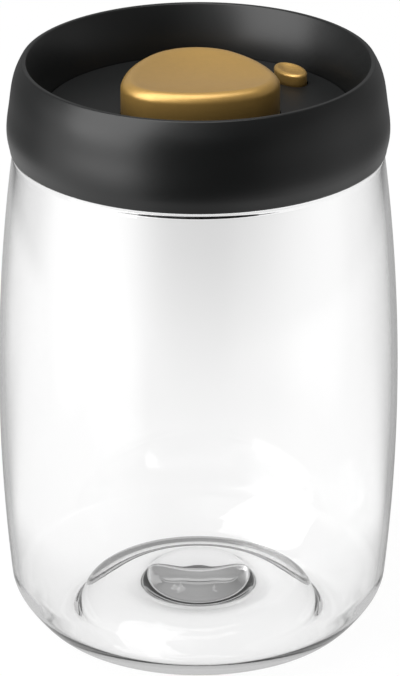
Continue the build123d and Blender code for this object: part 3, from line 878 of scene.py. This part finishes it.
# Springs
# The large coil returns the pump button and the fine one keeps the vent shut. Both are wound from hard drawn
# spring steel with closed ends. They shorten as their buttons are pressed, but here keep their rest length.
wire_steps = 40
wire_sides = 14
end_turns_share = 0.16
open_turns_share = 0.72
pump_wire = 0.5
pump_turns = 5.5
release_wire = 0.25
release_turns = 7.0
wire_grey = "#a9abad"
wire_gloss = (0.2, 0.4)
wire_colour_spread = 0.12
wire_patch = 3.0
draw_grain = 0.4

spring_steel, tree = new_finish("hard_drawn_spring_steel")
place = add_node(tree, "ShaderNodeTexCoord").outputs["Object"]
draw = add_node(tree, "ShaderNodeTexNoise", {0: place}, None, Scale=1 / (draw_grain * millimetre), Detail=4.0)
gloss = add_node(
    tree, "ShaderNodeMapRange", {0: draw.outputs[0]}, None, To_Min=wire_gloss[0], To_Max=wire_gloss[1]
)
links = {
    "Base Color": varied_colour(tree, wire_grey, wire_colour_spread, wire_patch),
    "Roughness": gloss.outputs[0],
}
body = add_node(tree, "ShaderNodeBsdfPrincipled", links, None, Metallic=1.0)
add_node(tree, "ShaderNodeOutputMaterial", {0: body.outputs[0]})

spring_group, given, result = new_group("wound_spring", {
    "Radius": "NodeSocketFloat", "Wire": "NodeSocketFloat", "Low": "NodeSocketFloat",
    "Height": "NodeSocketFloat", "Turns": "NodeSocketFloat", "Across": "NodeSocketFloat",
    "Along": "NodeSocketFloat",
    "Closed share": "NodeSocketFloat", "Steps": "NodeSocketInt", "Sides": "NodeSocketInt",
    "Material": "NodeSocketMaterial",
})
helix = add_node(spring_group, "GeometryNodeCurveSpiral", {
    "Resolution": given["Steps"], "Rotations": given["Turns"], "Start Radius": given["Radius"],
    "End Radius": given["Radius"],
}, None, Height=0.0)
share = add_node(spring_group, "GeometryNodeSplineParameter")
last = add_node(spring_group, "ShaderNodeMath", {1: given["Closed share"]}, {"operation": "SUBTRACT"}, _0=1.0)
open_share = add_node(spring_group, "ShaderNodeMapRange", {
    0: share.outputs["Factor"], "From Min": given["Closed share"], "From Max": last.outputs[0],
}, None, To_Min=0.0, To_Max=1.0)
mean = add_node(
    spring_group, "ShaderNodeMix", {2: share.outputs["Factor"], 3: open_share.outputs[0]}, None,
    _0=open_turns_share,
)
tall = add_node(spring_group, "ShaderNodeMath", {0: mean.outputs[0], 1: given["Height"]}, product)
lift = add_node(spring_group, "ShaderNodeMath", {0: tall.outputs[0], 1: given["Low"]}, total)
shift = add_node(
    spring_group, "ShaderNodeCombineXYZ", {0: given["Across"], 1: given["Along"], 2: lift.outputs[0]}
)
raised = add_node(spring_group, "GeometryNodeSetPosition", {0: helix.outputs[0], "Offset": shift.outputs[0]})
ring = add_node(
    spring_group, "GeometryNodeCurvePrimitiveCircle", {"Resolution": given["Sides"], "Radius": given["Wire"]}
)
wire = add_node(
    spring_group, "GeometryNodeCurveToMesh", {0: raised.outputs[0], 1: ring.outputs[0]}, None, Fill_Caps=True
)
smooth = add_node(spring_group, "GeometryNodeSetShadeSmooth", {0: wire.outputs[0]})
end_group(spring_group, smooth.outputs[0], given["Material"], result["Geometry"])


def wind_spring(node, wire_radius, turns):
    """Winds a spring into the box of its CAD node and hangs it on the lid."""
    low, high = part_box(node)
    centre = (low + high) / 2
    wire_radius *= millimetre
    piece = grown(node, spring_group, {
        "Radius": (high.x - low.x) / 2 - wire_radius,
        "Wire": wire_radius,
        "Low": low.z + wire_radius,
        "Height": high.z - low.z - 2 * wire_radius,
        "Turns": turns,
        "Across": centre.x,
        "Along": centre.y,
        "Closed share": end_turns_share,
        "Steps": round(wire_steps * turns),
        "Sides": wire_sides,
        "Material": spring_steel,
    })
    piece.name = node + "_coil"
    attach(piece, "lid")
    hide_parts(node)
    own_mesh(piece)


wind_spring("pump_spring", pump_wire, pump_turns)
wind_spring("release_spring", release_wire, release_turns)

# Pump button and release button
# The gold caps are moulded ABS, vacuum coated with a gold coloured metal film under a satin lacquer. Each has
# a dished top inside a broad soft edge. The large one snaps over its carrier, the small one sits on its stem.
pump_side_reach = 19.45
pump_side_arc = 38.0
pump_corner_arcs = (12.6, 16.5, 12.6)
carrier_corner_arcs = (12.6, 12.6, 12.6)
pump_turn = 5.8
pump_wall = 1.8
pump_roof = 3.75
pump_crown = 0.9
pump_edge_width = 2.8
pump_edge_height = 2.7
pump_dish_depth = 2.2
release_length = 12.4
release_width = 7.6
release_turn = 120.0
release_edge_width = 1.1
release_edge_height = 0.9
release_dish_depth = 0.9
release_pocket_radius = 2.8
release_pocket_roof = 2.8
release_stem_radius = 1.45
release_stem_socket = 1.5
plan_steps = 24
cap_facets = 6 * plan_steps
edge_steps = 14
dish_steps = 12


def pump_plan(margin, corner_arcs=pump_corner_arcs):
    """Plan of the pump button, grown by a margin: three long side arcs joined by three corner arcs."""
    third = 2 * math.pi / 3
    side_centre = pump_side_arc - pump_side_reach
    across = side_centre * math.sin(third / 2)
    beside = side_centre * math.cos(third / 2)
    corners = []
    for corner_arc in corner_arcs:
        corner_centre = math.sqrt((pump_side_arc - corner_arc)**2 - across**2) - beside
        lean = math.atan2(
            corner_centre * math.sin(third / 2), side_centre + corner_centre * math.cos(third / 2)
        )
        corners.append((corner_centre, corner_arc, lean))
    points = []
    for side, (corner_centre, corner_arc, lean) in enumerate(corners):
        facing = math.radians(pump_turn - 90) + third * side
        pointing = facing + third / 2
        lean_before = corners[side - 1][2]
        arcs = (
            (-side_centre, facing, pump_side_arc, facing - lean_before, facing + lean),
            (corner_centre, pointing, corner_arc, facing + lean, facing + third - lean),
        )
        for reach, way, radius, first, last in arcs:
            for a in np.linspace(first, last, plan_steps, endpoint=False):
                points.append((
                    reach * math.cos(way) + (radius + margin) * math.cos(a),
                    reach * math.sin(way) + (radius + margin) * math.sin(a),
                ))
    return points


def release_plan(margin):
    """Plan of the release button, grown by a margin: an oval beside the pump button."""
    turn = math.radians(release_turn)
    half_length = release_length / 2
    half_width = release_width / 2
    points = []
    for a in np.linspace(0, 2 * math.pi, cap_facets, endpoint=False):
        out = Vector((half_width * math.cos(a), half_length * math.sin(a))).normalized()
        spot = Vector((half_length * math.cos(a), half_width * math.sin(a))) + out * margin
        spot.rotate(Matrix.Rotation(turn, 2))
        points.append((release_centre[0] + spot.x, release_centre[1] + spot.y))
    return points


def cap_mesh(name, plan, centre, inside, low, high, edge_width, edge_height, dish_depth):
    """Cap over rings of its hollow: upright wall, edge of a quarter oval, and a dish inside its crest."""
    crest = plan(-edge_width)
    rings = inside + [[(*spot, low) for spot in plan(0)]]
    for a in np.linspace(0, math.pi / 2, edge_steps):
        height = high - edge_height * (1 - math.sin(a))
        rings.append([(*spot, height) for spot in plan(-edge_width * (1 - math.cos(a)))])
    for share in np.linspace(1, 0, dish_steps, endpoint=False)[1:]:
        height = high - dish_depth * (1 - share**2)
        inward = [[middle + (end - middle) * share for middle, end in zip(centre, spot)] for spot in crest]
        rings.append([(*spot, height) for spot in inward])
    rings.append([(*centre, high - dish_depth)])
    return ring_mesh(name, rings)


pump_low, pump_high = (corner.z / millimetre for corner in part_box("pump_button"))
pump_ceiling = pump_high - pump_roof
# The hollow keeps the carrier's even corners, so that the carrier fits in it.
pump_hollow = pump_plan(-pump_wall, carrier_corner_arcs)
pump_inside = [[(0, 0, pump_ceiling)]]
pump_inside += [[(*spot, height) for spot in pump_hollow] for height in (pump_ceiling, pump_low)]
pump_button = cap_mesh(
    "gold_pump_cap", pump_plan, (0, 0), pump_inside, pump_low, pump_high + pump_crown,
    pump_edge_width, pump_edge_height, pump_dish_depth,
)

release_low, release_high = (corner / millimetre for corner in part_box("release_button"))
release_centre = ((release_low + release_high) / 2)[:2]
release_ceiling = release_high.z - release_pocket_roof
release_socket = release_ceiling + release_stem_socket
release_inside = [
    circle(radius, height, cap_facets, release_centre, math.radians(release_turn))
    for radius, height in (
        (0, release_socket),
        (release_stem_radius, release_socket),
        (release_stem_radius, release_ceiling),
        (release_pocket_radius, release_ceiling),
        (release_pocket_radius, release_low.z),
    )
]
release_button = cap_mesh(
    "gold_release_cap", release_plan, release_centre, release_inside, release_low.z, release_high.z,
    release_edge_width, release_edge_height, release_dish_depth,
)

# Gold film under satin lacquer: the film mirrors softly, and the lacquer's fine orange peel spreads the
# highlight on the rounded edges.
gold_film = "#d1a75b"
film_roughness = 0.42
film_gloss_spread = 0.05
film_colour_spread = 0.05
film_patch = 1.5
peel_size = 0.7
peel_depth = 0.004
speck_size = 0.12
gold, tree = new_finish("satin_gold_metallised_abs")
place = add_node(tree, "ShaderNodeTexCoord").outputs["Object"]
peel = add_node(tree, "ShaderNodeTexNoise", {0: place}, None, Scale=1 / (peel_size * millimetre), Detail=2.0)
specks = add_node(
    tree, "ShaderNodeTexNoise", {0: place}, None, Scale=1 / (speck_size * millimetre), Detail=1.0
)
gloss = add_node(
    tree, "ShaderNodeMapRange", {0: specks.outputs[0]}, None,
    From_Min=noise_low, From_Max=noise_high,
    To_Min=film_roughness - film_gloss_spread, To_Max=film_roughness + film_gloss_spread,
)
relief = add_node(
    tree, "ShaderNodeBump", {"Height": peel.outputs[0]}, None, Strength=1.0, Distance=peel_depth * millimetre
)
links = {
    "Base Color": varied_colour(tree, gold_film, film_colour_spread, film_patch),
    "Roughness": gloss.outputs[0],
    "Normal": relief.outputs[0],
}
body = add_node(
    tree, "ShaderNodeBsdfPrincipled", links, None, Metallic=0.7, Coat_Weight=0.6, Coat_Roughness=0.28
)
add_node(tree, "ShaderNodeOutputMaterial", {0: body.outputs[0]})
for cap, rides, node in (
    (pump_button, "pump", "pump_button"),
    (release_button, "release", "release_button"),
):
    cap.data.materials.append(gold)
    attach(cap, rides)
    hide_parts(node)
